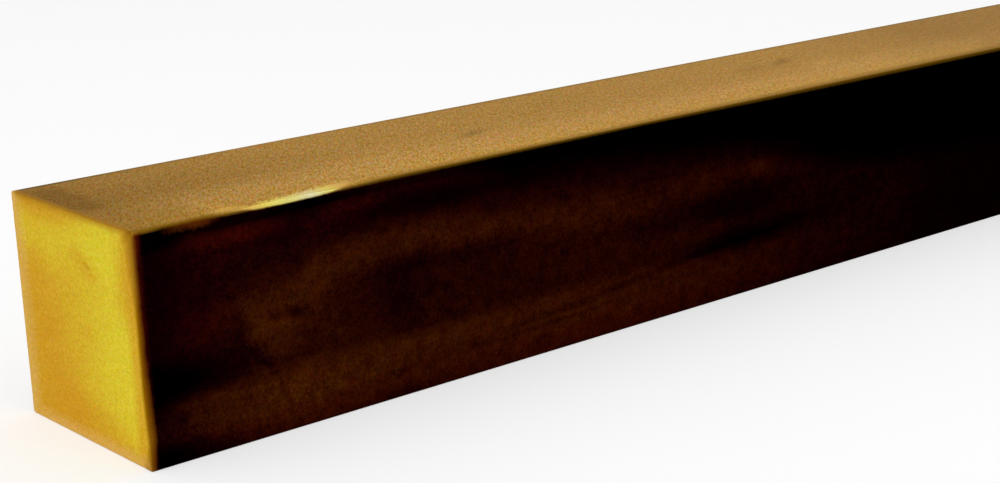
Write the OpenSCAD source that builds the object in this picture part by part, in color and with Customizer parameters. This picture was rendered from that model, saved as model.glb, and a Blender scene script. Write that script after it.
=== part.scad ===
// Square brass bar, cut to length. The section is drawn, so its four long
// arrises carry the small radius of the die. Both ends are sawn square, and a
// file has eased their edges round. One knock has flattened the front top
// arris a little way from the near end.

/* [Stock] */
// Width across the flats of the square section
section_width = 25.4; // [12:0.1:60]
// Length from one sawn end to the other
bar_length = 304.8; // [100:0.1:1000]

/* [Arrises and ends] */
// Radius that the die leaves on the four long arrises
arris_radius = 0.4; // [0.1:0.05:2]
// Radius that the file leaves on the edges round each sawn end
end_radius = 0.3; // [0.1:0.05:2]

/* [Bruise on the front top arris] */
// Distance from the near sawn end to the middle of the bruise
bruise_middle = 19; // [15:0.5:60]
// Length of the bruise along the arris
bruise_length = 13; // [4:0.5:20]
// Depth of the bruise below the rounded arris
bruise_depth = 0.2; // [0.05:0.01:0.5]

/* [Hidden] */

round_steps = 96;
near_end = -bar_length / 2;

// The knock is a long shallow cylinder laid across the arris. It bites below
// the sharp corner that the rounding has already taken off.
corner_relief = arris_radius * (sqrt(2) - 1);
knock_radius = pow(bruise_length, 2) / (8 * bruise_depth) + bruise_depth / 2;
knock_reach = 4 * (arris_radius + bruise_depth) + 2;

module rounded_rectangle(length, width, radius) {
    square([length - 2 * radius, width], center = true);
    square([length, width - 2 * radius], center = true);
    for (end = [-1, 1], side = [-1, 1])
        translate([end * (length / 2 - radius), side * (width / 2 - radius)])
            circle(r = radius, $fn = round_steps);
}

module drawn_bar() {
    rotate([90, 0, 90])
        linear_extrude(height = bar_length, center = true)
            rounded_rectangle(section_width, section_width, arris_radius);
}

// What the file leaves of the ends, seen from above
module eased_ends() {
    linear_extrude(height = 2 * section_width, center = true)
        rounded_rectangle(bar_length, section_width, end_radius);
}

module sawn_and_filed() {
    intersection() {
        drawn_bar();
        eased_ends();
        rotate([90, 0, 0])
            eased_ends();
    }
}

// Stands on the front top arris with its axis across it, square to the line
// that runs from the centre of the section out through the arris
module knock() {
    translate([near_end + bruise_middle, -section_width / 2, section_width / 2])
        rotate([45, 0, 0])
            translate([0, 0, knock_radius - bruise_depth - corner_relief])
                rotate([90, 0, 0])
                    cylinder(r = knock_radius, h = knock_reach, center = true, $fn = round_steps);
}

module square_bar() {
    color("darkgoldenrod")
        translate([0, 0, section_width / 2])
            difference() {
                sawn_and_filed();
                knock();
            }
}

square_bar();
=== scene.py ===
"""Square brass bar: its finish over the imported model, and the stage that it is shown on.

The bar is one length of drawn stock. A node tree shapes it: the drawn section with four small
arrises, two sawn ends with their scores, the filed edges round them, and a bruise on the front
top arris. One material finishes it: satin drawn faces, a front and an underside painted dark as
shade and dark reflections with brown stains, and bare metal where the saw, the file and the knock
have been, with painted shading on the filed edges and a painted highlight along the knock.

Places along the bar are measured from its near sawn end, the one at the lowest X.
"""

import math

import bpy
from bpy.props import FloatProperty, FloatVectorProperty, IntProperty, PointerProperty
from bpy.types import Operator, Panel, PropertyGroup
from mathutils import Matrix, Vector


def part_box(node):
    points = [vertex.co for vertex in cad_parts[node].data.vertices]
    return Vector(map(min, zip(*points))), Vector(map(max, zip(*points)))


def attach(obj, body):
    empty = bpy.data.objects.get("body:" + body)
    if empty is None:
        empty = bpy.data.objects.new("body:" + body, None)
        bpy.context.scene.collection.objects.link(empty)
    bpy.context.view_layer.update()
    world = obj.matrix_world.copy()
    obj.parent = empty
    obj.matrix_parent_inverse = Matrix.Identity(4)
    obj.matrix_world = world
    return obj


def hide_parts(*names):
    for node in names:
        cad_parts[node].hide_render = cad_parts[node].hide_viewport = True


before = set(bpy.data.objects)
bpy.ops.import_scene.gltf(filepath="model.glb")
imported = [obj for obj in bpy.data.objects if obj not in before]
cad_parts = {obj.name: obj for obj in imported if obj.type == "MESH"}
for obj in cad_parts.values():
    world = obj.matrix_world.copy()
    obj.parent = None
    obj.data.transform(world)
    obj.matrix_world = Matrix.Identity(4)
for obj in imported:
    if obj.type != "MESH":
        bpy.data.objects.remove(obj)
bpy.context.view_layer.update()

bl_info = {
    "name": "Square Brass Bar",
    "version": (1, 0, 0),
    "blender": (4, 5, 0),
    "location": "View3D > Sidebar > Square Bar",
    "description": "Shapes and finishes a length of square brass bar and sets a studio round it",
    "category": "Object",
}

BAR_LOW, BAR_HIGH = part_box("square_bar")
BAR_LENGTH = BAR_HIGH.x - BAR_LOW.x
BAR_WIDTH = BAR_HIGH.z - BAR_LOW.z

MM = 0.001


def srgb(red, green, blue):
    """The scene's linear colour for a display colour given as 0 to 255."""
    def linear(channel):
        share = channel / 255
        return share / 12.92 if share <= 0.04045 else ((share + 0.055) / 1.055) ** 2.4
    return linear(red), linear(green), linear(blue)


# Sizes and colours that a user would change


def amount(name, default, description, **kind):
    """A number that a user can set, 0 or more."""
    return FloatProperty(name=name, description=description, default=default, min=0.0, **kind)


def distance(name, default, description):
    """A length that a user can set, in metres."""
    return amount(name, default, description, precision=5, subtype="DISTANCE", unit="LENGTH")


def colour(name, default, description):
    """A colour that a user can set."""
    return FloatVectorProperty(
        name=name, description=description, default=default, size=3, min=0.0, max=1.0,
        subtype="COLOR",
    )


class BarSizes(PropertyGroup):
    """Sizes of the bar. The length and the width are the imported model's own."""

    length: distance("Length", BAR_LENGTH, "From one sawn end to the other")
    width: distance("Width", BAR_WIDTH, "Across the flats of the square section")
    arris_radius: distance("Arris radius", 0.25 * MM, "Radius that the die leaves on the long arrises")
    end_radius: distance("End radius", 0.2 * MM, "Radius that the file leaves round each sawn end")
    file_waver: distance("File waver", 0.04 * MM, "How far that radius wanders along an edge")
    edge_roll: distance("Edge roll", 0.06 * MM, "How far the rim of a sawn end is rubbed down")
    score_pitch: distance("Score pitch", 0.9 * MM, "Distance between saw scores")
    score_depth: distance("Score depth", 0.022 * MM, "Depth of the deepest saw score")
    score_tilt: FloatProperty(
        name="Score tilt", description="Slope of the saw scores, rising to the front",
        default=math.radians(12), subtype="ANGLE", unit="ROTATION",
    )
    pit_depth: distance("Pit depth", 0.08 * MM, "Depth of the small pit in the near sawn end")
    bruise_middle: distance("Bruise middle", 19 * MM, "From the near sawn end to the bruise")
    bruise_length: distance("Bruise length", 13 * MM, "Length of the bruise along the arris")
    bruise_depth: distance("Bruise depth", 0.26 * MM, "Depth of the bruise below the arris")
    seed: IntProperty(name="Seed", description="Picks the unevenness of saw and file", default=7)


class BarColours(PropertyGroup):
    """Colours of the bar's finish."""

    sawn_yellow: colour("Sawn yellow", srgb(225, 209, 60), "Freshly sawn brass")
    sawn_orange: colour("Sawn orange", srgb(213, 161, 47), "Sawn brass that has begun to turn")
    pit_orange: colour("Pit orange", srgb(200, 142, 38), "Bottom of the pit in a sawn end")
    # Painted light: the paler back and bottom rims of a sawn end and their filed edges, where the
    # rounding catches the light
    rim_light_tan: colour("Rubbed tan", srgb(222, 183, 98), "Rim of a sawn end, rubbed by handling")
    # The next four paint the shading across the rounding of the filed edges, darkening towards the
    # front that is painted dark
    edge_gold: colour("Edge gold", srgb(180, 130, 42), "Filed edge between a sawn end and a drawn face")
    edge_olive: colour("Edge olive", srgb(152, 106, 26), "Filed edge by the dark front, near the top")
    edge_brown: colour("Edge brown", srgb(134, 88, 2), "Filed edge by the dark front, further down")
    edge_red: colour("Edge red", srgb(134, 70, 0), "That edge where it turns dark")
    satin_tan: colour("Satin tan", srgb(184, 142, 74), "Drawn face")
    dull_brown: colour("Dull brown", srgb(98, 80, 52), "The back arris beside the sawn end")
    satin_brown: colour("Satin brown", srgb(130, 92, 40), "Drawn face where it has turned brown")
    satin_light: colour("Satin light", srgb(211, 167, 98), "Drawn face where it is rubbed")
    # Painted shade: the rounding of a long arris from a lit drawn face into the dark front
    arris_gold: colour("Arris gold", srgb(132, 94, 21), "Long arris where a drawn face turns dark")
    # The next three are the bruise's bare metal with a painted highlight along it, palest in its middle
    bruise_yellow: colour("Bruise yellow", srgb(227, 215, 98), "The knock, further in")
    bruise_gold: colour("Bruise gold", srgb(222, 184, 92), "Metal laid bare by the knock, at its edges")
    bruise_glint: colour("Bare brass", srgb(225, 219, 174), "Metal laid bare by the knock, at its middle")
    # The next five are painted shade and dark reflections on the front and the underside, with brown
    # that is partly stain and partly painted reflection
    dark_black: colour("Dark black", srgb(1, 0, 0), "Tarnished face at its darkest")
    dark_red: colour("Dark red", srgb(21, 1, 3), "Tarnished face between its stains")
    dark_maroon: colour("Dark maroon", srgb(36, 7, 3), "Tarnished face where it is thin")
    dark_brown: colour("Dark brown", srgb(64, 26, 4), "Tarnished face where the brass shows through")
    dark_tan: colour("Dark tan", srgb(84, 44, 10), "Tarnished face at its palest")
    # Painted reflection in the worn wedge under the top arris
    wedge_reflection_gold: colour("Dark gold", srgb(104, 48, 8), "Tarnished face where it is worn to the brass")


class StudioLooks(PropertyGroup):
    """The floor, the lamps and the camera."""

    floor_colour: colour("Floor", (0.72, 0.72, 0.72), "Colour of the floor")
    floor_glow: amount("Floor glow", 0.39, "White that the floor adds where it is seen", max=1.0)
    sky_light: amount("Sky light", 0.8, "Strength of the light that comes from all round", max=2.0)
    key_power: amount("Key lamp", 4.0, "Power of the large soft lamp at the front left", unit="POWER")
    strip_power: amount("Strip lamp", 0.12, "Power of the lamp that glints in the bruise", unit="POWER")
    lens: amount("Lens", 70.12, "Focal length of the camera", unit="CAMERA")


# Node maths

# Spreads the noise node's output, which keeps near 0.5, over about -1 to 1
NOISE_GAIN = 3.0


def operator_pair(operation):
    """The plain and the reflected method of one operator on a Field."""
    def plain(self, other):
        return self.net.math(operation, self, other)

    def reflected(self, other):
        return self.net.math(operation, other, self)

    return plain, reflected


class Field:
    """One output socket. An expression on Fields adds the Math nodes that work it out."""

    def __init__(self, net, socket):
        self.net = net
        self.socket = socket

    __add__, __radd__ = operator_pair("ADD")
    __sub__, __rsub__ = operator_pair("SUBTRACT")
    __mul__, __rmul__ = operator_pair("MULTIPLY")
    __truediv__, __rtruediv__ = operator_pair("DIVIDE")
    __pow__, __rpow__ = operator_pair("POWER")

    def __neg__(self):
        return self.net.math("MULTIPLY", self, -1.0)

    def __abs__(self):
        return self.net.math("ABSOLUTE", self)

    def output(self, name):
        """Another output of the same node."""
        return Field(self.net, self.socket.node.outputs[name])


class Net:
    """Adds nodes to one node tree, of a shape or of a finish."""

    def __init__(self, tree):
        self.tree = tree

    def node(self, kind, settings=None, sockets=None, output=0):
        """Adds a node: its settings first, then the values or the links of its sockets."""
        made = self.tree.nodes.new(kind)
        for name, value in (settings or {}).items():
            setattr(made, name, value)
        for name, value in (sockets or {}).items():
            if isinstance(value, Field):
                self.tree.links.new(value.socket, made.inputs[name])
            else:
                made.inputs[name].default_value = value
        return Field(self, made.outputs[output]) if made.outputs else made

    def math(self, operation, *values):
        return self.node("ShaderNodeMath", {"operation": operation}, dict(enumerate(values)))

    def least(self, first, second):
        return self.math("MINIMUM", first, second)

    def greatest(self, first, second):
        return self.math("MAXIMUM", first, second)

    def root(self, value):
        return self.math("SQRT", value)

    def between(self, value, low, high):
        """The value, kept from low to high."""
        return self.greatest(self.least(value, high), low)

    def ramp(self, value, start, end, kind="LINEAR"):
        """0 at start and 1 at end, in a straight line, and level beyond them."""
        return self.node(
            "ShaderNodeMapRange", {"interpolation_type": kind},
            {"Value": value, "From Min": start, "From Max": end},
        )

    def ease(self, value, start, end):
        """0 at start and 1 at end, with a soft start and finish."""
        return self.ramp(value, start, end, "SMOOTHSTEP")

    def steps(self, value, stops):
        """A broken line through stops, each a value and the height there."""
        height = stops[0][1]
        for (start, low), (end, high) in zip(stops, stops[1:]):
            height = self.ramp(value, start, end) * (high - low) + height
        return height

    def vector(self, x=0.0, y=0.0, z=0.0):
        return self.node("ShaderNodeCombineXYZ", {}, {"X": x, "Y": y, "Z": z})

    def parts(self, vector):
        """The three parts of a vector."""
        x = self.node("ShaderNodeSeparateXYZ", {}, {"Vector": vector})
        return x, x.output("Y"), x.output("Z")

    def raw_noise(self, vector, scale, seed, detail, roughness, output):
        """Noise from 0 to 1, with about scale waves to each unit of the vector."""
        return self.node(
            "ShaderNodeTexNoise", {"noise_dimensions": "4D"},
            {"Vector": vector, "W": seed, "Scale": scale, "Detail": detail, "Roughness": roughness},
            output=output,
        )

    def noise(self, vector, scale, seed, detail=2.0, roughness=0.5):
        """Smooth noise about 0, nearly all of it from -1 to 1."""
        return (self.raw_noise(vector, scale, seed, detail, roughness, 0) - 0.5) * NOISE_GAIN

    def tints(self, vector, scale, seed, detail=2.0, roughness=0.5):
        """Three smooth noises about 0 that go their own ways."""
        raw = self.raw_noise(vector, scale, seed, detail, roughness, "Color")
        return [(part - 0.5) * NOISE_GAIN for part in self.parts(raw)]

    def mix(self, share, first, second, blend="MIX"):
        """A colour that turns from first to second as share goes from 0 to 1."""
        def padded(shade):
            return shade if isinstance(shade, Field) else (*shade, 1.0)
        return self.node(
            "ShaderNodeMix", {"data_type": "RGBA", "blend_type": blend, "clamp_factor": True},
            {0: share, 6: padded(first), 7: padded(second)}, output=2,
        )

    def colour_ramp(self, value, stops):
        """A colour for each value, from stops that are each a value and its colour."""
        made = self.node("ShaderNodeValToRGB", {}, {"Fac": value})
        ramp = made.socket.node.color_ramp
        while len(ramp.elements) < len(stops):
            ramp.elements.new(1.0)
        for element, (place, shade) in zip(ramp.elements, stops):
            element.position = place
            element.color = (*shade, 1.0)
        return made

    def tinted(self, shade, factor):
        """A colour times a vector or a number."""
        return self.mix(1.0, shade, factor, blend="MULTIPLY")


def emptied(data):
    """A net for a new material or world, without the nodes that it comes with."""
    data.use_nodes = True
    data.node_tree.nodes.clear()
    return Net(data.node_tree)


# Shape of the bar, as a geometry node tree

# Columns across and up the section, and how many of them crowd beside each arris
COLUMNS_ACROSS = 78
COLUMNS_UP = 144
EDGE_COLUMNS = 11
EDGE_ZONE = 1.1 * MM

# Stations along the bar: in each filed edge, in the near stretch and in the far stretch
END_STATIONS = 14
NEAR_STATIONS = 64
FAR_STATIONS = 42
END_ZONE = 1.2 * MM
NEAR_STRETCH = 48 * MM
STATIONS = 2 * END_STATIONS + NEAR_STATIONS + FAR_STATIONS + 1

# The pit in the near sawn end, from the middle of the section: towards the back, and up
PIT_PLACE = (-2.8 * MM, 7.3 * MM)
PIT_REACH = (1.25 * MM, 0.5 * MM)
PIT_TURN = math.radians(22)

# The saw's scores: how far they wander and how far the two ends' own lie apart, both in strokes, and
# the depth of the shallowest as a share of the deepest
SCORE_WANDER = 1.4
SCORES_APART = 40
LEAST_SCORE = 0.2

# The rim of a sawn end is rubbed down over this width, and to a little past its edge
RUBBED_RIM = 1.2 * MM
PAST_RIM = 0.1 * MM

# How uneven the knock has left its flat
KNOCK_UNEVENNESS = 0.02 * MM

# Each input of the shape tree has the name of a size, with capitals and spaces, and is fed by it
SHAPE_INPUTS = {size.replace("_", " ").title(): size for size in BarSizes.__annotations__}

# What the shape leaves on its points for the finish to read: the scores' depth in millimetres
SCORE_MARK = "score_depth"


class ShapeNet(Net):
    """A net of geometry nodes, with the steps that read and move a mesh."""

    def place(self):
        return self.parts(self.node("GeometryNodeInputPosition"))

    def moved(self, mesh, x, y, z):
        """The mesh with each point put at x, y, z."""
        return self.node(
            "GeometryNodeSetPosition", {}, {"Geometry": mesh, "Position": self.vector(x, y, z)}
        )


def crowded(net, share, columns, half):
    """Spreads columns over a face: share is -1 to 1, and the last few lie close beside the arris."""
    edge_share = EDGE_COLUMNS / ((columns - 1) / 2)
    reach = net.steps(abs(share), ((0.0, 0.0), (1 - edge_share, half - EDGE_ZONE), (1.0, half)))
    return net.math("SIGN", share) * reach


def drawn_stock(net, size):
    """A closed grid laid out as the drawn bar: four flats, four round arrises and two plain ends."""
    half = size["Width"] / 2
    grid = net.node(
        "GeometryNodeMeshCube", {},
        {
            "Size": (2.0, 2.0, 2.0), "Vertices X": STATIONS,
            "Vertices Y": COLUMNS_ACROSS, "Vertices Z": COLUMNS_UP,
        },
    )
    along, across, up = net.place()
    gaps = STATIONS - 1
    share = (along + 1) / 2
    end_share = END_STATIONS / gaps
    from_near = net.steps(
        share,
        (
            (end_share, END_ZONE),
            ((END_STATIONS + NEAR_STATIONS) / gaps, NEAR_STRETCH),
            (1 - end_share, size["Length"] - END_ZONE),
        ),
    )
    into_near = net.ramp(share, end_share, 0.0)
    into_far = net.ramp(share, 1 - end_share, 1.0)
    from_near = from_near + (into_far * (2 - into_far) - into_near * (2 - into_near)) * END_ZONE
    y = crowded(net, across, COLUMNS_ACROSS, half)
    z = crowded(net, up, COLUMNS_UP, half)

    # Beyond the flats, a square ring of the grid becomes a round one of the same reach
    flat = half - size["Arris Radius"]
    y_flat = net.between(y, -flat, flat)
    z_flat = net.between(z, -flat, flat)
    y_out = y - y_flat
    z_out = z - z_flat
    reach = net.greatest(abs(y_out), abs(z_out))
    pull = reach / net.greatest(net.root(y_out * y_out + z_out * z_out), 1e-9)
    return net.moved(
        grid, from_near - size["Length"] / 2, y_flat + y_out * pull, z_flat + z_out * pull
    )


def filed_edges(net, bar, size):
    """Draws the section in towards each end along a quarter round, as a file leaves it."""
    x, y, z = net.place()
    half = size["Width"] / 2
    from_end = size["Length"] / 2 - abs(x)
    which_end = net.math("SIGN", x)
    waver = net.noise(net.vector(which_end * 3, y / MM, z / MM), 0.16, size["Seed"], detail=1.0)
    radius = size["End Radius"] + size["File Waver"] * waver
    short_of_round = net.greatest(radius - from_end, 0.0)
    inset = radius - net.root(net.greatest(radius * radius - short_of_round * short_of_round, 0.0))
    drawn_in = (half - inset) / half
    return net.moved(bar, x, y * drawn_in, z * drawn_in)


def saw_scores(net, y, z, which_end, size):
    """Depth of the saw's scores: slanting grooves of uneven depth, one for each stroke."""
    tilt = size["Score Tilt"]
    across_scores = z * net.math("COSINE", tilt) + y * net.math("SINE", tilt)
    drift = net.noise(net.vector(which_end * 5, y / MM, z / MM), 0.12, size["Seed"] + 3, detail=1.0)
    stroke = across_scores / size["Score Pitch"] + drift * SCORE_WANDER + which_end * SCORES_APART
    count = net.math("FLOOR", stroke)
    part = stroke - count
    chance = net.node(
        "ShaderNodeTexWhiteNoise", {"noise_dimensions": "2D"},
        {"Vector": net.vector(count, size["Seed"], 0.0)},
    )
    groove = part * (1 - part) * 4
    return size["Score Depth"] * groove * (chance * (1 - LEAST_SCORE) + LEAST_SCORE)


def pit(net, y, z, which_end, size):
    """Depth of the one small pit, in the near sawn end."""
    y_from, z_from = y - PIT_PLACE[0], z - PIT_PLACE[1]
    cosine, sine = math.cos(PIT_TURN), math.sin(PIT_TURN)
    long_way = (y_from * cosine + z_from * sine) / PIT_REACH[0]
    short_way = (z_from * cosine - y_from * sine) / PIT_REACH[1]
    reach = net.root(long_way * long_way + short_way * short_way)
    return size["Pit Depth"] * net.ease(reach, 1.0, 0.1) * net.ramp(which_end, 0.0, -1.0)


def sawn_ends(net, bar, size):
    """Cuts the relief of the saw into both ends. The edges beside them give way with it."""
    x, y, z = net.place()
    from_end = size["Length"] / 2 - abs(x)
    which_end = net.math("SIGN", x)
    rim = size["Width"] / 2 - size["End Radius"] - net.greatest(abs(y), abs(z))
    roll = size["Edge Roll"] * net.ease(rim, RUBBED_RIM, -PAST_RIM)
    scored = saw_scores(net, y, z, which_end, size) + pit(net, y, z, which_end, size)
    mark = scored / MM * net.ramp(from_end, 0.5 * END_ZONE, 0.0)
    bar = net.node(
        "GeometryNodeStoreNamedAttribute", {"data_type": "FLOAT", "domain": "POINT"},
        {"Geometry": bar, "Name": SCORE_MARK, "Value": mark},
    )
    return net.moved(bar, x - which_end * (roll + scored) * net.ramp(from_end, END_ZONE, 0.0), y, z)


def bruised_arris(net, bar, size):
    """Flattens the front top arris where a knock has caught it, along a long shallow curve."""
    x, y, z = net.place()
    corner = size["Width"] * math.sqrt(0.5)
    relief = size["Arris Radius"] * (math.sqrt(2) - 1)
    depth = size["Bruise Depth"]
    from_middle = x + size["Length"] / 2 - size["Bruise Middle"]
    curve = size["Bruise Length"] ** 2 / (depth * 4) + depth
    wander = net.noise(net.vector(x / MM, y / MM, z / MM), 0.7, size["Seed"] + 5)
    unevenness = abs(wander) * KNOCK_UNEVENNESS
    floor = corner - relief - depth + from_middle * from_middle / curve - unevenness
    outward = (z - y) * math.sqrt(0.5)
    cut = net.greatest(outward - floor, 0.0)
    return net.moved(bar, x, y + cut * math.sqrt(0.5), z - cut * math.sqrt(0.5))


def shape_tree(finish):
    """The whole shape, as a node group with named inputs for its sizes."""
    tree = bpy.data.node_groups.new("square_bar_shape", "GeometryNodeTree")
    tree.is_modifier = True
    tree.interface.new_socket("Geometry", in_out="INPUT", socket_type="NodeSocketGeometry")
    tree.interface.new_socket("Geometry", in_out="OUTPUT", socket_type="NodeSocketGeometry")
    for name in SHAPE_INPUTS:
        kind = "NodeSocketInt" if name == "Seed" else "NodeSocketFloat"
        tree.interface.new_socket(name, in_out="INPUT", socket_type=kind)
    net = ShapeNet(tree)
    entry = net.node("NodeGroupInput")
    size = {name: entry.output(name) for name in SHAPE_INPUTS}

    bar = drawn_stock(net, size)
    bar = filed_edges(net, bar, size)
    bar = sawn_ends(net, bar, size)
    bar = bruised_arris(net, bar, size)
    lift = net.vector(z=size["Width"] / 2)
    bar = net.node("GeometryNodeTransform", {}, {"Geometry": bar, "Translation": lift})
    bar = net.node("GeometryNodeSetShadeSmooth", {}, {"Geometry": bar})
    bar = net.node("GeometryNodeRealizeInstances", {}, {"Geometry": bar})
    bar = net.node("GeometryNodeSetMaterial", {}, {"Geometry": bar, "Material": finish})
    net.node("NodeGroupOutput", {}, {"Geometry": bar})
    return tree


def set_inputs(modifier, values):
    """Sets a geometry node modifier's inputs by name."""
    for item in modifier.node_group.interface.items_tree:
        if item.item_type == "SOCKET" and item.in_out == "INPUT" and item.name in values:
            modifier[item.identifier] = values[item.name]


def settled(maker):
    """Turns an object's evaluated shape into its plain mesh and takes its modifiers off."""
    depsgraph = bpy.context.evaluated_depsgraph_get()
    mesh = bpy.data.meshes.new_from_object(
        maker.evaluated_get(depsgraph), preserve_all_data_layers=True, depsgraph=depsgraph
    )
    maker.modifiers.clear()
    maker.data = mesh
    return maker


# Finish of the bar


class Place:
    """Where a point of the bar is, in millimetres, as its finish reads it."""

    def __init__(self, net, sizes):
        self.net = net
        self.half = sizes.width / MM / 2
        self.length = sizes.length / MM
        x, y, z = net.parts(net.node("ShaderNodeTexCoord", output="Object"))
        self.along = x / MM + self.length / 2
        self.back = y / MM
        self.up = z / MM - self.half
        self.height = self.up + self.half
        self.front = -self.back
        self.vector = net.vector(self.along, self.back, self.up)
        self.drawn_vector = net.vector(self.along / 12, self.back, self.up)

        # Which face a point is on, each 0 to 1. The last reaches a little past the front.
        self.at_top = net.ease(self.up - abs(self.back), -0.5, 0.5)
        self.at_front = net.ease(self.front - abs(self.up), -0.5, 0.5)
        self.by_front = net.ease(self.front - abs(self.up), -1.8, -0.2)

        # Ways over the surface, uneven with wear. The first is 0 along the two arrises where bright
        # faces meet dark ones, and below 0 on the bright side. The second is 0 along the edges round
        # the nearer sawn end, and below 0 on that end.
        waver = net.noise(self.vector, 0.45, 41, detail=3.0)
        self.nick = net.noise(self.vector, 1.6, 42, detail=3.0)
        self.onto_dark = self.front - self.up + self.nick * 0.05
        self.from_end = net.least(self.along, self.length - self.along)
        off_end = self.from_end - self.half + net.greatest(abs(self.up), abs(self.back))
        self.off_end = off_end + (waver * 0.12 + self.nick * 0.10) * (1 - self.by_front * 0.75)


def oval(net, along, across, middle, reach, turn, soft):
    """A soft oval, 1 inside: its middle, half its length and width, and its turn in degrees."""
    cosine, sine = math.cos(math.radians(turn)), math.sin(math.radians(turn))
    along, across = along - middle[0], across - middle[1]
    long_way = (along * cosine + across * sine) / reach[0]
    short_way = (across * cosine - along * sine) / reach[1]
    span = net.root(long_way * long_way + short_way * short_way)
    return net.ease(span, 1 + soft, 1 - soft)


def drawn_grain(place):
    """Fine lines of the die, with a little satin grain between them."""
    net = place.net
    line_vector = net.vector(place.along / 60, place.back, place.up)
    lines = net.noise(line_vector, 3.2, 1, detail=4.0, roughness=0.7)
    grain = net.noise(place.vector, 2.2, 2, detail=4.0, roughness=0.75)
    return lines * 0.35 + grain * 0.65


# The lay of the metal's crystals: how much of the way along the bar and of the way to the back goes
# into each way of their noise. They lie aslant, which the photograph's slanting view evens out.
CRYSTAL_LAY = ((1, -0.68), (0.21, 0.22))

# How far the crystals lift red, green and blue together, and then each of them apart
SAWN_GRAIN = ((0.15, 0.18, 0.95), (0.1, 0.18, 0.55))
SATIN_GRAIN = ((0.55, 0.88, 2.5), (0.38, 0.4, 1.3))


def satin_grain(place):
    """The crystals of the metal: specks of light and dark, and each one's leaning in its colour."""
    net = place.net
    leaning = (place.along * along + place.back * back for along, back in CRYSTAL_LAY)
    vector = net.vector(*leaning, place.up)
    specks = net.noise(vector, 3.0, 3, detail=2.0, roughness=0.9)
    return specks, net.tints(vector, 3.2, 4, detail=1.5, roughness=0.9)


def grained(net, shade, grain, strengths):
    """A colour that the grain lifts and lowers: its red, green and blue together, then each apart."""
    specks, leanings = grain
    together, apart = strengths
    light = net.vector(*(
        specks * shared + leaning * own + 1 for shared, own, leaning in zip(together, apart, leanings)
    ))
    return net.tinted(shade, light)


# Marks on the top face, each a middle along and to the back, a reach along and across, in
# millimetres, a turn in degrees, a softness, and how far it turns the face brown or, below 0, light
TOP_MARKS = (
    ((11.8, -9), (2.4, 1), -66, 0.9, -0.6),
    ((12.3, -11.5), (1.9, 1.1), -10, 0.9, -0.8),
    ((15, 1.5), (16, 4.5), 0, 0.9, 0.16),
    ((2.2, 7), (1.5, 2.6), -20, 0.9, 0.45),
    ((2.3, 0.6), (1.3, 1.8), 10, 0.9, 0.4),
    ((3.6, 4.2), (0.8, 1.6), 0, 0.9, 0.25),
    ((0.6, 6.4), (0.5, 1.7), 0, 0.8, 0.6),
    ((53, -1.8), (2.4, 0.9), 24, 0.8, 0.55),
    ((107, 2.8), (2.6, 1.1), 12, 0.9, 0.26),
    ((113.6, 3.2), (2.9, 0.9), 24, 0.8, 0.62),
    ((117, -1.5), (3.4, 1.6), 12, 0.9, -0.4),
)


# How brown age has turned the drawn faces, by the distance from the nearer sawn end
AGED = ((0, 0.8), (2.6, 0.75), (4.6, 0.55), (9, 0.4), (20, 0.22), (38, 0))

# The browner stretch at mid-bar: it comes and goes between these places, and is this brown
MID_BROWN_COMES = (118, 154)
MID_BROWN_GOES = (300, 165)
MID_BROWN = 0.42


def satin_face(place, colours):
    """Colour of the drawn faces: tan, browner near the sawn end and the back, lighter in front."""
    net = place.net
    clouds = net.noise(place.vector, 0.09, 21, detail=3.0)
    smears = net.noise(place.drawn_vector, 0.35, 22, detail=3.0)
    mottle = net.noise(place.vector, 0.6, 23, detail=4.0, roughness=0.7)
    forward = net.ease(place.front + smears * 2 + clouds, -2.5, 8.5)

    brown = net.steps(place.from_end + clouds * 2 + mottle * 0.6, AGED) * (1 - forward * 0.45)
    along = place.along + clouds * 5 + mottle * 2
    brown = brown + net.ease(along, *MID_BROWN_COMES) * net.ease(along, *MID_BROWN_GOES) * MID_BROWN
    brown = brown + smears * 0.05 + clouds * 0.09 + mottle * 0.11
    light = forward * net.ramp(place.from_end + clouds * 2, 6, 12) * 0.72
    light = light + net.greatest(smears, 0.0) * 0.15 + mottle * 0.10
    on_top = net.ease(place.up, place.half - 0.6, place.half - 0.1)
    for middle, reach, turn, soft, share in TOP_MARKS:
        mark = oval(net, place.along + mottle * 0.5, place.back + clouds, middle, reach, turn, soft)
        if share > 0:
            brown = brown + mark * on_top * share
        else:
            light = light - mark * on_top * share
    shade = net.mix(light, colours.satin_tan, colours.satin_light)
    return net.mix(brown, shade, colours.satin_brown)
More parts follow.
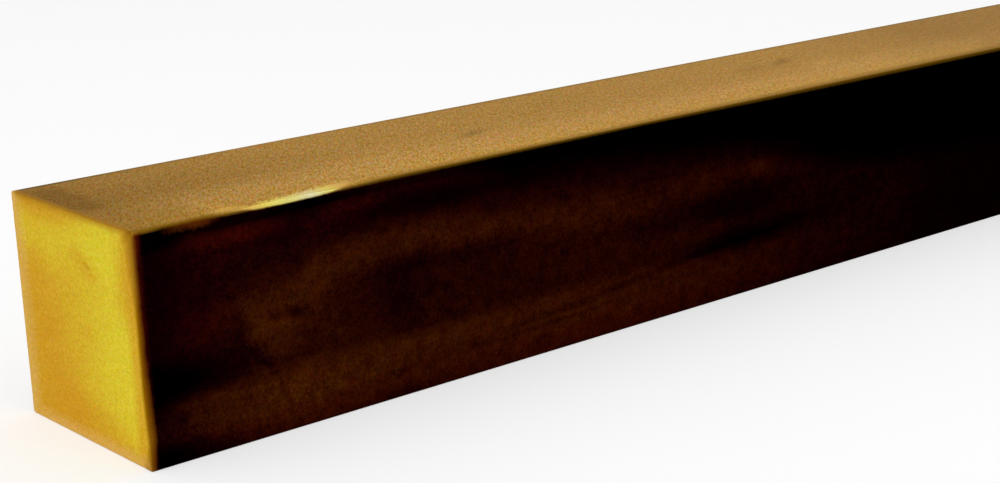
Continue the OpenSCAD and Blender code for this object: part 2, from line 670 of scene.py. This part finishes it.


# Stains and painted reflections on the front, which is painted dark as shade, each a middle along
# and up from the bottom, a reach along and up, in millimetres, a turn in degrees, a softness, and
# how much brown it adds or, below 0, takes away
FRONT_STAINS_AND_REFLECTIONS = (
    # The nose of the great brown stain and reflection, a loop that opens away from the end
    ((15.6, 12.8), (2.7, 3.6), 20, 0.6, 0.32),
    ((20, 14.8), (4.5, 1.6), 22, 0.8, 0.14),
    ((17.8, 13.4), (2, 0.65), -8, 0.75, -0.4),
    # Its browner patches
    ((20.5, 12.5), (3, 4), 0, 0.9, 0.12),
    ((14.5, 16.5), (4, 1.8), 8, 0.9, 0.14),
    ((9, 14), (4.5, 1.5), 6, 0.9, 0.12),
    ((80, 10.2), (8, 1.1), 0, 0.9, 0.13),
    ((92, 16.6), (3.2, 1.1), 6, 0.85, 0.22),
    # Its dark patches
    ((32.4, 12.6), (2.6, 4.6), 6, 0.9, -0.16),
    ((41.5, 15.6), (9, 1.1), -1, 0.9, -0.12),
    ((42, 12.4), (9, 3.2), 0, 0.9, -0.08),
    ((72, 17.5), (5, 1.4), 0, 0.9, -0.1),
    ((77, 11.8), (6, 3), 5, 0.9, -0.09),
    ((88, 12.2), (7.2, 2.5), 2, 0.8, -0.22),
    ((88, 7.4), (9, 1.5), 3, 0.9, -0.34),
    ((96, 17), (6, 1.2), 3, 0.9, -0.14),
    # A dark line and two scratches through the band along its foot
    ((66, 5.7), (27, 0.45), 4.6, 0.95, -0.22),
    ((50, 3.4), (22, 0.3), 2.2, 0.95, -0.14),
    ((15.4, 6.4), (5, 0.4), -58, 0.95, -0.2),
    # Under the top arris: brown smears, and the dark between them
    ((11, 22.95), (5, 0.8), 0, 0.8, 0.28),
    ((24, 22.8), (2.8, 1.2), 0, 0.9, 0.14),
    ((28.5, 23.25), (2.4, 0.5), 0, 0.9, 0.17),
    ((2, 24), (3, 0.8), 0, 0.8, -0.3),
    ((14, 24.56), (22, 0.42), 0, 0.6, -0.22),
    ((20.5, 23.9), (2.6, 1.2), 0, 0.85, -0.16),
    ((22, 24.5), (5, 0.6), 0, 0.8, -0.14),
    ((39, 22.3), (11, 1.1), -1, 0.8, -0.22),
    # Dark beside the sawn end and along the bottom
    ((2, 8.9), (5.5, 2.1), 6, 0.75, -0.3),
    ((9.5, 9), (4, 1.3), 6, 0.85, -0.12),
    ((3, 0.6), (9, 1.7), 0, 0.8, -0.34),
    ((32, 0.5), (4.5, 1), 0, 0.85, -0.2),
)

# Broken lines along the front, by the distance from the near sawn end: the height of the great
# brown stain and reflection's upper edge, the strength of the band along its foot, how brown the
# front is without its stains, and the height that its painted shade is black from
STAIN_TOP = ((11, 11), (16, 17), (23, 19.8), (36, 20.4), (60, 18.6))
STAIN_FOOT = ((2, 0.12), (9, 0.4), (21, 0.49), (33, 0.35), (66, 0.3), (96, 0.16), (124, 0))
GROUND = ((0, 0.14), (6.5, 0.37), (66, 0.4), (98, 0.33), (118, 0.35), (128, 0.26), (150, 0.17))
BLACK_FROM = (
    (0, 27.5), (33, 26.5), (42, 25), (50, 22), (66, 21.4), (90, 20), (97, 18.2),
    (104, 15.7), (116, 13.5), (150, 11.5), (230, 20),
)

# Broken lines up the front, of its painted light beside the sawn end: how far it reaches, and its
# strength
GLOW_REACH = ((8, 1.2), (16, 1.3))
GLOW_STRENGTH = ((2, 1.15), (9, 1), (13, 0.5), (18, 0.7), (20, 0.8), (22, 0.5), (24.3, 1.3))

# The wedge under the top arris, worn round and painted with a brown reflection, an oval like the stains
WORN_WEDGE_REFLECTION = ((7, 25), (2.9, 0.44), 4, 0.6)

# The colours of the painted shade and dark reflections on the front and the underside, each at its
# place on the ramp, and the ramp's length for a level of 1
DARK_FACE = (
    (0.0, "dark_black"), (0.22, "dark_red"), (0.35, "dark_maroon"), (0.72, "dark_brown"),
    (1.0, "dark_tan"),
)
DARK_FACE_SCALE = 0.74


def great_stain_and_reflection(place, along, up):
    """The brown that covers most of the front, partly stain and partly painted reflection, and the
    brighter band along its foot.
    """
    net = place.net
    height = net.steps(along, STAIN_TOP)
    body = net.ease(height - up, -1.4, 1.9) * net.ease(along, 11, 15)
    body = body * net.ease(along - up * 0.5, 103, 82)
    rim = net.ease(abs(height - up - 2.4), 3.2, 0.6) * net.ease(along, 14, 23)
    rim = rim * net.ramp(along, 112, 40)
    foot = net.steps(along, STAIN_FOOT) * net.ease(up, 8.3, 5.9) * net.ramp(up, -1.5, 2.6)
    return body * (rim * 0.24 + 0.11) + foot


def front_shade_and_stains(place, colours):
    """Colour of the front and underside, painted dark as shade and dark reflections: black to brown, in
    long stains.
    """
    net = place.net
    streaks = net.noise(place.drawn_vector, 0.6, 11, detail=5.0, roughness=0.62)
    blotches = net.noise(place.vector, 0.2, 12, detail=4.0, roughness=0.6)
    speckle = net.noise(place.vector, 2.6, 13, detail=1.5, roughness=0.9)
    wander = net.noise(place.drawn_vector, 0.45, 14, detail=3.0)
    mottle = net.noise(place.vector, 0.75, 16, detail=2.5, roughness=0.7)
    red_hue, green_hue, _ = net.tints(place.vector, 1.3, 17, detail=2.0, roughness=0.8)
    along = place.along + blotches * 1.6 + speckle * 0.3
    up = place.height + wander * 0.5 + blotches * 0.5 + speckle * 0.2

    # Only the front has the listed stains and painted reflections; the underside has those of chance
    on_front = net.ease(place.front, place.half - 0.6, place.half - 0.1)
    stain_and_reflection_level = great_stain_and_reflection(place, along, up)
    for middle, reach, turn, soft, brown in FRONT_STAINS_AND_REFLECTIONS:
        stain_and_reflection_level = stain_and_reflection_level + oval(net, along, up, middle, reach, turn, soft) * brown
    chance = net.ease(net.noise(place.drawn_vector, 0.16, 15, detail=3), -0.1, 0.9) * 0.34 + 0.24
    placed = on_front * net.ease(along, 165, 130)
    level = chance + (stain_and_reflection_level + net.steps(along, GROUND) - chance) * placed

    # Painted shade: black under the top arris, further down as it leaves the stain behind
    above = up - net.steps(along, BLACK_FROM) + streaks
    level = level * (1 - net.ease(above, -2.2, 2.2) * 0.97 * on_front)

    # Painted light: brighter in a narrow strip beside the sawn end
    into_glow = place.from_end + blotches * 0.25 + speckle * 0.1
    glow = net.ease(into_glow, net.steps(up, GLOW_REACH), 0.3)
    level = net.greatest(level, 0.0) + glow * net.steps(up, GLOW_STRENGTH)

    # Uneven all over, and more so where it is brown
    uneven = streaks * 0.14 + blotches * 0.08 + speckle * 0.36 + mottle * 0.34
    level = level + uneven * (level + 0.12)
    stops = [(brown, getattr(colours, name)) for brown, name in DARK_FACE]
    shade = net.colour_ramp(level * DARK_FACE_SCALE, stops)

    # Redder near the end and under the top arris
    redder = net.ease(along, 14, 6) * net.ease(up, 10, 13)
    redder = net.greatest(redder, net.ease(up, 19.5, 22) + net.ease(up, 3.5, 2) * 0.4) * on_front
    green = (1 - redder * 0.6) * (green_hue * 0.55 + 1)
    shade = net.tinted(shade, net.vector(red_hue * 0.10 + 1, green, 1.0))
    # Painted reflection: the worn wedge under the top arris, brown nearly to the brass
    worn = oval(net, along, up, *WORN_WEDGE_REFLECTION)
    return net.mix(worn * on_front * 0.72, shade, colours.wedge_reflection_gold)


# Patches of the sawn end, each a middle to the back and up from the bottom, a reach across and up, in
# millimetres, a turn in degrees, a softness, and how yellow it turns the metal or, below 0, how orange
SAWN_PATCHES = (
    ((-9.5, 8.6), (7.5, 7), 0, 0.85, 0.32),
    ((-11.2, 20.4), (2.6, 5.2), 0, 0.8, -0.75),
    ((11.5, 22.5), (2.2, 3.5), 0, 0.8, 0.45),
    ((-4, 22), (10, 2.6), 0, 0.8, 0.22),
    ((7, 21), (4.5, 2.2), 8, 0.8, 0.26),
    ((-2.6, 19.9), (2.6, 1.1), 22, 0.9, -0.4),
    ((-1.8, 12.4), (1.8, 0.8), 10, 0.85, -0.22),
    ((6.5, 11.5), (2.4, 1), -14, 0.85, -0.16),
    ((0, 4), (5, 1.2), 4, 0.85, -0.12),
)


def sawn_face(place, colours):
    """Colour of the sawn ends: yellow to the upper front, orange to the lower back, and rims with
    painted shade and light.
    """
    net = place.net
    patches = net.noise(place.vector, 0.16, 31, detail=3.0)
    stroke_vector = net.vector(place.along, place.back * 0.25, place.up + place.back * 0.22)
    strokes = net.noise(stroke_vector, 0.8, 33, detail=4.0, roughness=0.6)
    grain = net.noise(place.vector, 1.5, 32, detail=2.0, roughness=0.8)
    yellow = net.ramp(place.front + place.up * 0.38, -9, 13.5)
    across = place.back + patches
    up = place.height + patches * 0.7 + grain * 0.3
    for middle, reach, turn, soft, share in SAWN_PATCHES:
        yellow = yellow + oval(net, across, up, middle, reach, turn, soft) * share
    yellow = yellow * net.ramp(place.up + place.front * 0.3, -place.half, -6)
    yellow = yellow + patches * 0.10 + strokes * 0.06 + grain * 0.30
    shade = net.mix(yellow, colours.sawn_orange, colours.sawn_yellow)

    # The rims, with the light and shade of their rounding painted in: orange as shade along the top and
    # the front, tan and lighter as light along the back and the bottom
    half = place.half
    top_rim = net.ease(place.up + patches * 0.5, half - 2.6, half - 0.6)
    top_rim = top_rim * net.ease(place.back, -9, 5)
    front_rim = net.ease(place.front + patches * 0.3, half - 3, half - 1.1)
    shade = net.mix(net.greatest(top_rim, front_rim) * 0.75, shade, colours.sawn_orange)
    back_rim = net.ramp(place.back + patches * 0.3, half - 3, half - 0.7)
    bottom_rim = net.ramp(-place.up + patches * 0.2, half - 1.9, half - 0.5)
    shade = net.mix(net.greatest(back_rim, bottom_rim) * 0.9, shade, colours.rim_light_tan)

    # The scores and the pit are painted a little darker, as shade in their hollows, and the pit is
    # orange
    scores = net.node("ShaderNodeAttribute", {"attribute_name": SCORE_MARK}, output="Fac")
    shade = net.mix(net.ramp(scores, 0.03, 0.10) * 0.6, shade, colours.pit_orange)
    return net.tinted(shade, 1 - net.least(scores, 0.035) * 1.3 + strokes * 0.02)


# Broken lines by the distance from the nearer sawn end: where the painted shade of gold begins beside
# the arrises that part bright from dark, how dull the back arris is, and where the painted dark of
# the front begins and is whole
GOLD_FROM = ((4, -1), (35, -1.75), (60, -1.8), (125, -2.6))
DULL = ((4, 1), (13, 0.45), (35, 0.2), (60, 0.5))
DARK_FROM = (
    (1.8, 0.08), (3.3, -0.11), (9, -0.12), (11, -0.04), (13.5, -0.06), (15.5, -0.2),
    (24, -0.22), (35, -0.33), (60, -0.46), (125, -0.42),
)
DARK_TO = (
    (1.8, 0.46), (3.3, 0.36), (8, 0.29), (11, 0.42), (13.5, 0.44), (15.5, 0.34), (35, 0.35),
    (50, 0.31), (70, 0.27), (95, 0.46), (125, 0.52),
)

# Broken lines up the front: where its painted dark stops short of the sawn end, and how softly
DARK_STOPS_FRONT = (
    (0.8, -0.02), (1.8, 0.1), (3.4, 0.33), (5.4, 0.2), (8, 0.06), (11, -0.05), (14, 0.05),
    (17, -0.03), (20, -0.02), (22, -0.08), (24.8, -0.08),
)
DARK_STOPS_SOFT = ((8, 0.76), (14, 0.54))

# Broken lines along the bruise, by the distance from the near sawn end: where the spill of its
# painted highlight begins on the top face and how softly, where the foot of the flat begins and how
# softly, and how pale its painted highlight is
GLINT_SPILL_FROM = ((11, -2.4), (12, -2.9), (13.3, -1.8), (14.5, -1.2), (26, -3))
GLINT_SPILL_SOFT = ((14, 1), (17, 0.8), (20, 1), (24, 1.3))
FOOT = (
    (10.5, -0.42), (12, -0.16), (13.2, 0.06), (14.3, 0.28), (15.2, 0.32), (16.3, 0.26),
    (17.3, 0.28), (19, 0.25), (21, 0.2), (22.5, 0.22), (24.8, 0.06), (26, -0.42), (28, -1.2),
)
FOOT_SOFT = ((11, 0.35), (14, 0.17), (24.6, 0.17), (26.5, 0.6))
GLINT_PALENESS = ((16, 0), (20, 0.4), (21.8, 1), (23, 0.45), (24.6, 0.1))

# What the metal and the faces painted dark mirror at a grazing angle, and the height of the drawn grain
METAL_TINT = (0.85, 0.66, 0.43, 1)
DARK_FACE_TINT = (0, 0, 0, 1)
GRAIN_HEIGHT = 0.04 * MM


def bright_metal(place, colours, grain):
    """Colour of the bright metal, from a sawn end over its filed edge to the drawn faces, with the
    shading of the filed edge painted in.
    """
    net = place.net
    at_back = net.ease(place.back - abs(place.up) * 0.5, 5, 6.2)
    edge = net.mix(place.at_top * (1 - at_back), colours.rim_light_tan, colours.edge_gold)
    front_edge = net.mix(net.ease(place.height, 15, 21), colours.edge_brown, colours.edge_olive)
    edge = net.mix(place.by_front, edge, front_edge)

    # The filed edge's painted shading laps onto the sawn end, furthest by the front
    worn = place.by_front * (net.ramp(place.height, 9, 3) * 0.35 - 0.28)
    lap = net.ease(place.height, 15.5, 24.5) * 1.1 + net.ease(place.height, 3, 1.2) * 0.6 + 0.2
    lap = place.at_top * (1 - place.by_front) * 0.45 + place.by_front * lap
    over_edge = net.ramp(place.off_end - worn, -0.35 - lap, 0.1)
    sawn = grained(net, sawn_face(place, colours), grain, SAWN_GRAIN)
    brass = net.mix(over_edge, sawn, edge)

    # The drawn faces are warmer beside the arrises that part them from the dark ones
    satin = grained(net, satin_face(place, colours), grain, SATIN_GRAIN)
    blue = 1 - net.ramp(place.onto_dark, -7, -0.6) * 0.30
    satin = net.tinted(satin, net.vector(1.0, 1.0, blue))
    onto_face = net.ramp(place.off_end, 0.05, 0.75 + place.at_top * (at_back * 1.2 + 0.1))
    return net.mix(onto_face * (1 - place.at_front), brass, satin)


def shaded_arrises(place, colours, brass):
    """The bright metal, gold as painted shade where a drawn face rounds over into the dark front, and
    dull where the back meets the top.
    """
    net = place.net
    gold = net.ramp(place.onto_dark, net.steps(place.from_end, GOLD_FROM), -0.15)
    gold = gold * net.ramp(place.off_end, 0.1, 0.8)
    # Less of the painted gold from about 9 to 30 mm along, round the bruise
    rubbed = net.ease(place.from_end, 8.5, 11) * net.ease(place.from_end, 32, 26)
    brass = net.mix(gold * (1 - rubbed * 0.72), brass, colours.arris_gold)
    from_back_arris = place.half * 2 - place.back - abs(place.up)
    dull = net.ease(from_back_arris + place.nick * 0.1, 1.25, 0.5) * net.ramp(place.off_end, 0.2, 1)
    return net.mix(dull * net.steps(place.from_end, DULL), brass, colours.dull_brown)


def laid_bare_and_glint(place, along, specks):
    """Where the knock has laid the metal bare and its painted highlight lies, 0 to 1: on its flat and,
    as painted highlight only, over a part of the top face.
    """
    net = place.net
    spill_from = net.steps(along, GLINT_SPILL_FROM)
    bare = net.ramp(place.onto_dark + specks * 0.8, spill_from, spill_from + net.steps(along, GLINT_SPILL_SOFT))
    foot = net.steps(along, FOOT)
    foot_soft = net.steps(along, FOOT_SOFT)
    bare = bare * net.ramp(place.onto_dark, foot + foot_soft, foot - foot_soft)
    bare = bare * (net.ease(along, 9.5, 11.2) * 0.55 + net.ease(along, 12.9, 14.2) * 0.45)
    bare = bare * net.ease(along, 29, 25.4)
    return bare * net.ease(place.up + place.front, place.half * 2 - 3.6, place.half * 2 - 3.2)


def struck_metal_and_glint(place, along, colours):
    """Colour of the metal that the knock has laid bare, with a painted highlight along it, palest where
    it is deepest.
    """
    net = place.net
    further_in = net.ramp(along, 14, 17) * net.ramp(along, 26, 24.2)
    struck = net.mix(further_in, colours.bruise_gold, colours.bruise_yellow)
    struck = net.mix(net.steps(along, GLINT_PALENESS), struck, colours.bruise_glint)
    # Painted highlight: lighter towards the top face
    return net.tinted(struck, net.ramp(place.onto_dark, -0.42, -0.80) * 0.22 + 1)


def painted_dark_cover(place, bare):
    """Where the painted dark of shade and dark reflections lies, 0 to 1: on the front and the
    underside, but not on bare metal.
    """
    net = place.net
    dark_from = net.steps(place.from_end, DARK_FROM)
    dark_to = net.steps(place.from_end, DARK_TO)
    dark = net.ramp(place.onto_dark, dark_from, dark_to) * (1 - bare)
    worn = net.steps(place.height, DARK_STOPS_FRONT)
    from_rim = place.off_end - worn * place.at_front + place.nick * place.at_front * 0.04
    return dark * net.ramp(from_rim, -0.12, net.steps(place.height, DARK_STOPS_SOFT))


def bar_finish(sizes, colours):
    """The bar's one material: drawn faces, faces painted dark as shade and dark reflections, and bare
    metal with painted shading and highlights, each where it belongs.
    """
    material = bpy.data.materials.new("drawn_brass")
    net = emptied(material)
    place = Place(net, sizes)
    grain = satin_grain(place)
    brass = shaded_arrises(place, colours, bright_metal(place, colours, grain))
    along = place.along + place.nick * 0.3
    bare = laid_bare_and_glint(place, along, grain[0])
    brass = net.mix(bare, brass, struck_metal_and_glint(place, along, colours))

    # Painted shade: the filed edge beside the sawn end turns red where the dark of the front fades out
    # over it
    dark = painted_dark_cover(place, bare)
    thin = dark * place.by_front * net.ramp(place.off_end, 1.6, 0.8)
    brass = net.mix(thin, brass, colours.edge_red)

    fine = drawn_grain(place)
    bump = net.node("ShaderNodeBump", {}, {"Strength": 0.35, "Distance": GRAIN_HEIGHT, "Height": fine})

    def surface(shade, roughness, tint):
        return net.node(
            "ShaderNodeBsdfPrincipled", {},
            {
                "Base Color": shade, "Metallic": 1.0, "Roughness": roughness,
                "Specular Tint": tint, "Normal": bump,
            },
        )

    metal = surface(brass, 0.42 + fine * 0.05 - bare * 0.10, METAL_TINT)
    painted_dark_face = surface(front_shade_and_stains(place, colours), 0.5, DARK_FACE_TINT)
    skin = net.node("ShaderNodeMixShader", {}, {0: dark, 1: metal, 2: painted_dark_face})
    net.node("ShaderNodeOutputMaterial", {}, {"Surface": skin})
    return material


# Stage

# The camera's place and turn, as the photograph was taken: from the front left, a little above. It
# looks to +X by the yaw and down by the pitch. The shift is that of a picture cut off its centre.
CAMERA_PLACE = (-0.24462, -0.17892, 0.07412)
CAMERA_YAW = math.radians(41.634)
CAMERA_PITCH = math.radians(16.995)
CAMERA_ROLL = math.radians(-1.224)
CAMERA_SHIFT = (-0.0544, 0.0599)
SENSOR_WIDTH = 36.0

# The floor is flat this far out, and then curves up round its edge, with this radius and this far
FLOOR_FLAT = 4.5
FLOOR_CURVE = 2.0
FLOOR_LEAN = math.radians(60)
FLOOR_RINGS = 12
FLOOR_SIDES = 96

# The large lamp's place and size, and the small one's way and distance from the bruise, and its size
KEY_PLACE = (-0.75, -0.55, 0.85)
KEY_SIZE = 0.6
STRIP_WAY = (0.548, 0, 0.836)
STRIP_DISTANCE = 0.7
STRIP_SIZE = 0.12


def seen_or_mirrored(net):
    """1 for rays from the camera and for rays that metal or glass sends on, otherwise 0."""
    light = net.node("ShaderNodeLightPath", output="Is Camera Ray")
    return net.greatest(
        net.greatest(light, light.output("Is Glossy Ray")), light.output("Is Transmission Ray")
    )


def pale_floor(looks):
    """A wide plain floor that curves up far out. It takes the bar's shadow, and its glow is white."""
    points = [(0.0, 0.0, 0.0)]
    faces = []
    for ring in range(FLOOR_RINGS + 1):
        lean = FLOOR_LEAN * ring / FLOOR_RINGS
        reach = FLOOR_FLAT + FLOOR_CURVE * math.sin(lean)
        height = FLOOR_CURVE * (1 - math.cos(lean))
        first = 1 + ring * FLOOR_SIDES
        for side in range(FLOOR_SIDES):
            turn = math.tau * side / FLOOR_SIDES
            points.append((reach * math.cos(turn), reach * math.sin(turn), height))
            here = first + side
            after = first + (side + 1) % FLOOR_SIDES
            inner = (after - FLOOR_SIDES, here - FLOOR_SIDES) if ring else (0,)
            faces.append((here, after, *inner))
    mesh = bpy.data.meshes.new("studio_floor")
    mesh.from_pydata(points, [], faces)
    mesh.shade_smooth()
    floor = bpy.data.objects.new("studio_floor", mesh)
    bpy.context.scene.collection.objects.link(floor)

    material = bpy.data.materials.new("pale_floor")
    net = emptied(material)
    matt = net.node("ShaderNodeBsdfDiffuse", {}, {"Color": (*looks.floor_colour, 1.0)})
    seen_glow = seen_or_mirrored(net) * looks.floor_glow
    glow = net.node("ShaderNodeEmission", {}, {"Strength": seen_glow})
    surface = net.node("ShaderNodeAddShader", {}, {0: matt, 1: glow})
    net.node("ShaderNodeOutputMaterial", {}, {"Surface": surface})
    mesh.materials.append(material)
    return floor


def white_sky(looks):
    """White all round where it is seen or mirrored, and a softer light on everything else."""
    world = bpy.data.worlds.new("white_studio")
    net = emptied(world)
    strength = looks.sky_light + seen_or_mirrored(net) * (1 - looks.sky_light)
    sky = net.node("ShaderNodeBackground", {}, {"Strength": strength})
    net.node("ShaderNodeOutputWorld", {}, {"Surface": sky})
    bpy.context.scene.world = world


def soft_lamp(name, place, target, size, power):
    """A square lamp at place that faces target."""
    data = bpy.data.lights.new(name, "AREA")
    data.shape = "SQUARE"
    data.size = size
    data.energy = power
    lamp = bpy.data.objects.new(name, data)
    lamp.location = place
    lamp.rotation_euler = (Vector(target) - Vector(place)).to_track_quat("-Z", "Y").to_euler()
    bpy.context.scene.collection.objects.link(lamp)
    return lamp


def photo_camera(looks):
    """The camera, placed and turned as the photograph was taken."""
    data = bpy.data.cameras.new("photo_camera")
    data.sensor_fit = "HORIZONTAL"
    data.sensor_width = SENSOR_WIDTH
    data.lens = looks.lens
    data.shift_x, data.shift_y = CAMERA_SHIFT
    data.clip_start = 0.01
    camera = bpy.data.objects.new("photo_camera", data)
    turn = Matrix.Rotation(-CAMERA_YAW, 4, "Z")
    turn = turn @ Matrix.Rotation(math.radians(90) - CAMERA_PITCH, 4, "X")
    turn = turn @ Matrix.Rotation(CAMERA_ROLL, 4, "Z")
    camera.matrix_world = Matrix.Translation(CAMERA_PLACE) @ turn
    bpy.context.scene.collection.objects.link(camera)
    return camera


# Operators, panel and registration


class SQUAREBAR_OT_make_bar(Operator):
    """Shape the bar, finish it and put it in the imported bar's place"""

    bl_idname = "square_bar.make_bar"
    bl_label = "Make Bar"
    bl_options = {"REGISTER", "UNDO"}

    def execute(self, context):
        sizes = context.scene.bar_sizes
        finish = bar_finish(sizes, context.scene.bar_colours)
        bar = bpy.data.objects.new("drawn_bar", bpy.data.meshes.new("drawn_bar"))
        context.scene.collection.objects.link(bar)
        shape = bar.modifiers.new("Shape", "NODES")
        shape.node_group = shape_tree(finish)
        set_inputs(shape, {name: getattr(sizes, size) for name, size in SHAPE_INPUTS.items()})
        settled(bar)
        if not bar.data.polygons:
            raise RuntimeError("the shape tree made no faces")
        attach(bar, "root")
        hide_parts("square_bar")
        return {"FINISHED"}


class SQUAREBAR_OT_set_stage(Operator):
    """Lay the floor, hang the lamps and place the camera"""

    bl_idname = "square_bar.set_stage"
    bl_label = "Set Stage"
    bl_options = {"REGISTER", "UNDO"}

    def execute(self, context):
        scene = context.scene
        looks = scene.bar_looks
        pale_floor(looks)
        white_sky(looks)
        near_end = Vector((BAR_LOW.x, 0.0, BAR_WIDTH / 2))
        soft_lamp("key_lamp", KEY_PLACE, near_end, KEY_SIZE, looks.key_power)
        bruise = Vector((BAR_LOW.x + scene.bar_sizes.bruise_middle, BAR_LOW.y, BAR_WIDTH))
        strip_place = bruise + Vector(STRIP_WAY) * STRIP_DISTANCE
        soft_lamp("strip_lamp", strip_place, bruise, STRIP_SIZE, looks.strip_power)
        scene.camera = photo_camera(looks)
        scene.view_settings.view_transform = "Standard"
        return {"FINISHED"}


class SQUAREBAR_PT_panel(Panel):
    """The bar's sizes and colours, and the buttons that make it"""

    bl_idname = "SQUAREBAR_PT_panel"
    bl_label = "Square Bar"
    bl_space_type = "VIEW_3D"
    bl_region_type = "UI"
    bl_category = "Square Bar"

    def draw(self, context):
        scene = context.scene
        for heading, group in (
            ("Sizes", scene.bar_sizes), ("Colours", scene.bar_colours), ("Studio", scene.bar_looks),
        ):
            box = self.layout.box()
            box.label(text=heading)
            for name in group.__annotations__:
                box.prop(group, name)
        self.layout.operator(SQUAREBAR_OT_make_bar.bl_idname)
        self.layout.operator(SQUAREBAR_OT_set_stage.bl_idname)


CLASSES = (
    BarSizes, BarColours, StudioLooks,
    SQUAREBAR_OT_make_bar, SQUAREBAR_OT_set_stage, SQUAREBAR_PT_panel,
)
SETTINGS = {"bar_sizes": BarSizes, "bar_colours": BarColours, "bar_looks": StudioLooks}


def register():
    for cls in CLASSES:
        bpy.utils.register_class(cls)
    for name, group in SETTINGS.items():
        setattr(bpy.types.Scene, name, PointerProperty(type=group))


def unregister():
    for name in SETTINGS:
        delattr(bpy.types.Scene, name)
    for cls in reversed(CLASSES):
        bpy.utils.unregister_class(cls)


def main():
    """Makes everything."""
    register()
    bpy.ops.square_bar.set_stage()
    bpy.ops.square_bar.make_bar()


if __name__ == "__main__":
    main()
